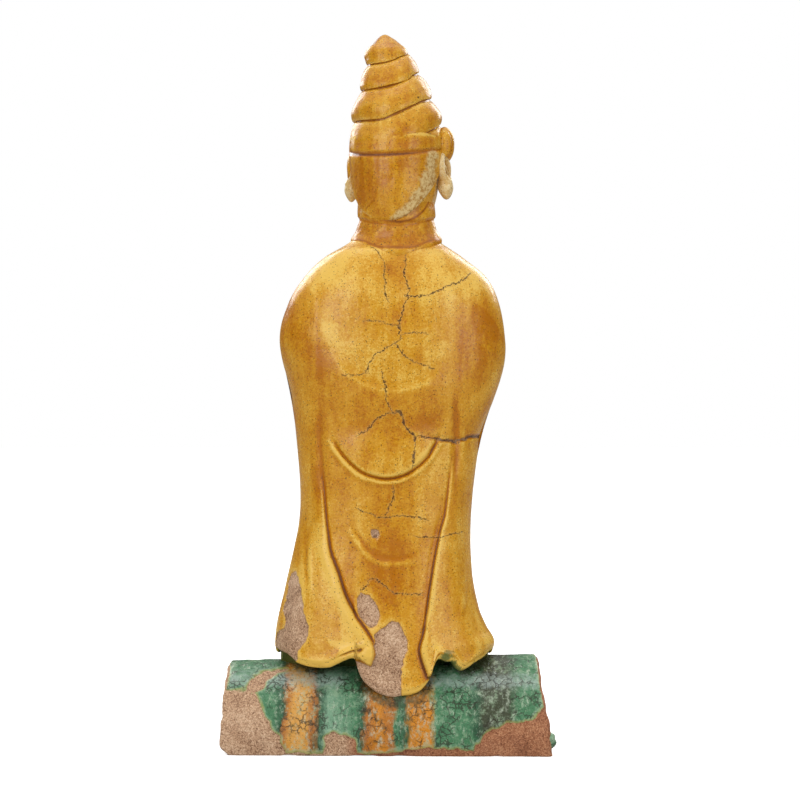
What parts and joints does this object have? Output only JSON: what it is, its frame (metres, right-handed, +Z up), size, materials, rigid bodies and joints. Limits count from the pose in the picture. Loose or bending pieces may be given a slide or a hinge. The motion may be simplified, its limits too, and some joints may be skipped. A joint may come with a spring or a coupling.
{
  "type": "ceramic roof ridge figure",
  "caption": "Glazed ceramic ridge tile with a standing robed attendant, hair wound up in a tall coiled topknot, fired with it as one piece.",
  "frame": {"origin": "middle of the tile's underside, in the plane of its two long rims", "axes": "+Z up the figure; the tile's ridge runs along X; the figure faces -Y and its own right hand is towards -X"},
  "size_m": [0.191, 0.102, 0.425],
  "materials": {
    "sancai_glaze": "glossy honey-amber lead glaze with cream ears and a green, amber and cream striped tile, crazed and chipped to buff clay"
  },
  "bodies": {
    "root": {"roof_ridge_figure": "sancai_glaze"}
  },
  "joints": []
}
